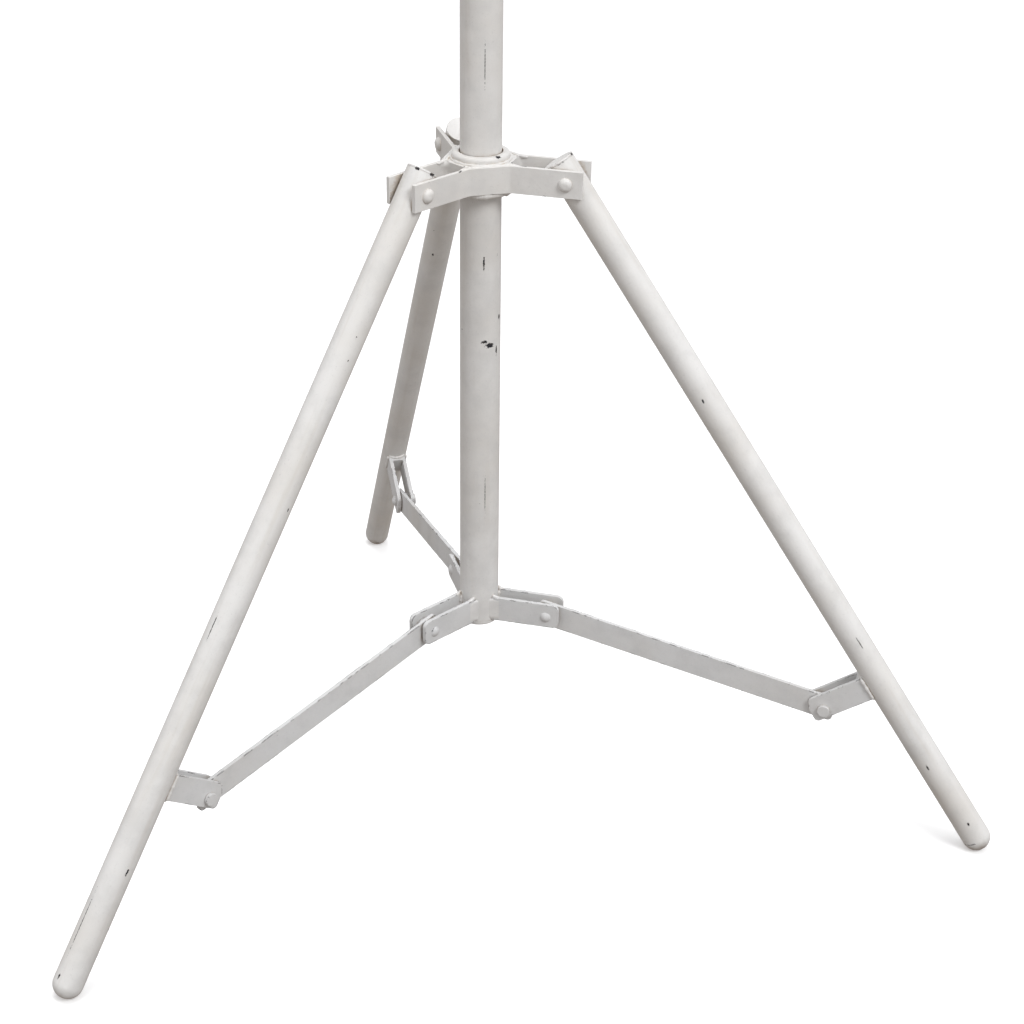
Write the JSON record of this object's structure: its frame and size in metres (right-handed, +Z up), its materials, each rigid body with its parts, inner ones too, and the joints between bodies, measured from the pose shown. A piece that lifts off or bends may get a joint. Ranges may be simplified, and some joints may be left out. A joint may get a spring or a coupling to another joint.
{
  "type": "tripod floor lamp",
  "caption": "Folding steel tripod floor lamp: legs hinged to a sliding hub, braced to the column foot, with a telescopic mast and tilting reflector head.",
  "frame": {"origin": "on the floor, on the axis of the column", "axes": "+Z up along the column; the rear leg points along +Y, the head faces -Y, and X runs across the two front legs"},
  "size_m": [0.91, 0.7918, 1.6583],
  "materials": {
    "tripod_paint": "old satin off-white paint, chipped and stained",
    "head_paint": "satin off-white paint",
    "mast_steel": "dulled plating",
    "bush_plastic": "black guide bush",
    "screw_black": "black moulded grip on a steel screw",
    "bare_steel": "satin steel",
    "porcelain": "glazed porcelain",
    "cap_brass": "dull brass",
    "bulb_glass": "frosted glass",
    "gland_rubber": "black rubber"
  },
  "bodies": {
    "hub": {"hub_sleeve": "tripod_paint", "hub_core": "tripod_paint", "hub_strap_front": "tripod_paint", "hub_strap_rear_left": "tripod_paint", "hub_strap_rear_right": "tripod_paint", "hub_rivet_left": "tripod_paint", "hub_rivet_right": "tripod_paint", "hub_rivet_rear": "tripod_paint"},
    "column": {"column_tube": "tripod_paint", "column_plug": "tripod_paint", "clamp_collar": "tripod_paint", "clevis_left": "tripod_paint", "clevis_right": "tripod_paint", "clevis_rear": "tripod_paint", "clevis_rivet_left": "tripod_paint", "clevis_rivet_right": "tripod_paint", "clevis_rivet_rear": "tripod_paint"},
    "leg_left": {"leg_tube_left": "tripod_paint", "leg_cap_left": "tripod_paint", "leg_foot_left": "tripod_paint", "leg_bracket_left": "tripod_paint", "bracket_pin_left": "tripod_paint", "pin_washers_left": "tripod_paint"},
    "brace_left": {"brace_left": "tripod_paint", "brace_spool_left": "tripod_paint"},
    "leg_right": {"leg_tube_right": "tripod_paint", "leg_cap_right": "tripod_paint", "leg_foot_right": "tripod_paint", "leg_bracket_right": "tripod_paint", "bracket_pin_right": "tripod_paint", "pin_washers_right": "tripod_paint"},
    "brace_right": {"brace_right": "tripod_paint", "brace_spool_right": "tripod_paint"},
    "leg_rear": {"leg_tube_rear": "tripod_paint", "leg_cap_rear": "tripod_paint", "leg_foot_rear": "tripod_paint", "leg_bracket_rear": "tripod_paint", "bracket_pin_rear": "tripod_paint", "pin_washers_rear": "tripod_paint"},
    "brace_rear": {"brace_rear": "tripod_paint", "brace_spool_rear": "tripod_paint"},
    "clamp_screw": {"clamp_screw": "screw_black"},
    "mast": {"mast_tube": "mast_steel", "mast_bush": "bush_plastic"},
    "fork": {"swivel_socket": "head_paint", "yoke": "head_paint"},
    "swivel_screw": {"swivel_screw": "screw_black"},
    "head": {"housing": "head_paint", "rear_cap": "head_paint", "reflector": "head_paint", "lampholder_plate": "bare_steel", "lampholder": "porcelain", "bulb_cap": "cap_brass", "bulb": "bulb_glass", "tilt_bosses": "head_paint", "pivot_bolt": "bare_steel", "switch_body": "bare_steel", "cable_gland": "gland_rubber"},
    "tilt_screw": {"tilt_screw": "screw_black"},
    "switch_lever": {"switch_lever": "bare_steel"}
  },
  "joints": [
    {"name": "column_lift", "type": "slide", "parent": "hub", "child": "column", "axis": [0, 0, 1], "range_m": [0, 0.1597]},
    {"name": "leg_left_fold", "type": "hinge", "parent": "hub", "child": "leg_left", "pos_m": [-0.07171, -0.0414, 0.648], "axis": [0.5, -0.866, 0], "range_deg": [0, 29.91]},
    {"name": "brace_left_swing", "type": "hinge", "parent": "leg_left", "child": "brace_left", "pos_m": [-0.30343, -0.17519, 0.13865], "axis": [0.5, -0.866, 0], "range_deg": [0, 49.96]},
    {"name": "leg_right_fold", "type": "hinge", "parent": "hub", "child": "leg_right", "pos_m": [0.07171, -0.0414, 0.648], "axis": [0.5, 0.866, 0], "range_deg": [0, 29.91]},
    {"name": "brace_right_swing", "type": "hinge", "parent": "leg_right", "child": "brace_right", "pos_m": [0.30343, -0.17519, 0.13865], "axis": [0.5, 0.866, 0], "range_deg": [0, 49.96]},
    {"name": "leg_rear_fold", "type": "hinge", "parent": "hub", "child": "leg_rear", "pos_m": [0, 0.0828, 0.648], "axis": [-1, 0, 0], "range_deg": [0, 29.91]},
    {"name": "brace_rear_swing", "type": "hinge", "parent": "leg_rear", "child": "brace_rear", "pos_m": [0, 0.35037, 0.13865], "axis": [-1, 0, 0], "range_deg": [0, 49.96]},
    {"name": "mast_height", "type": "slide", "parent": "column", "child": "mast", "axis": [0, 0, 1], "range_m": [-0.3, 0.22]},
    {"name": "clamp_screw_turn", "type": "hinge", "parent": "column", "child": "clamp_screw", "pos_m": [0.05, 0, 1.044], "axis": [1, 0, 0], "range_deg": [0, 360]},
    {"name": "head_swivel", "type": "hinge", "parent": "mast", "child": "fork", "pos_m": [0, 0, 1.4], "axis": [0, 0, 1], "range_deg": [-170, 170]},
    {"name": "swivel_screw_turn", "type": "hinge", "parent": "fork", "child": "swivel_screw", "pos_m": [0.05, 0, 1.383], "axis": [1, 0, 0], "range_deg": [0, 360]},
    {"name": "head_tilt", "type": "hinge", "parent": "fork", "child": "head", "pos_m": [0, 0, 1.5343], "axis": [1, 0, 0], "range_deg": [-80, 35]},
    {"name": "tilt_screw_turn", "type": "hinge", "parent": "head", "child": "tilt_screw", "pos_m": [0.07, 0, 1.5343], "axis": [1, 0, 0], "range_deg": [0, 360]},
    {"name": "switch_toggle", "type": "hinge", "parent": "head", "child": "switch_lever", "pos_m": [0, 0.0727, 1.5063], "axis": [1, 0, 0], "range_deg": [0, 28]}
  ],
  "couplings": [
    {"joint": "leg_left_fold", "follows": "column_lift", "rad_per_m": 3.2677},
    {"joint": "brace_left_swing", "follows": "column_lift", "rad_per_m": 5.4584},
    {"joint": "leg_right_fold", "follows": "column_lift", "rad_per_m": 3.2677},
    {"joint": "brace_right_swing", "follows": "column_lift", "rad_per_m": 5.4584},
    {"joint": "leg_rear_fold", "follows": "column_lift", "rad_per_m": 3.2677},
    {"joint": "brace_rear_swing", "follows": "column_lift", "rad_per_m": 5.4584}
  ]
}
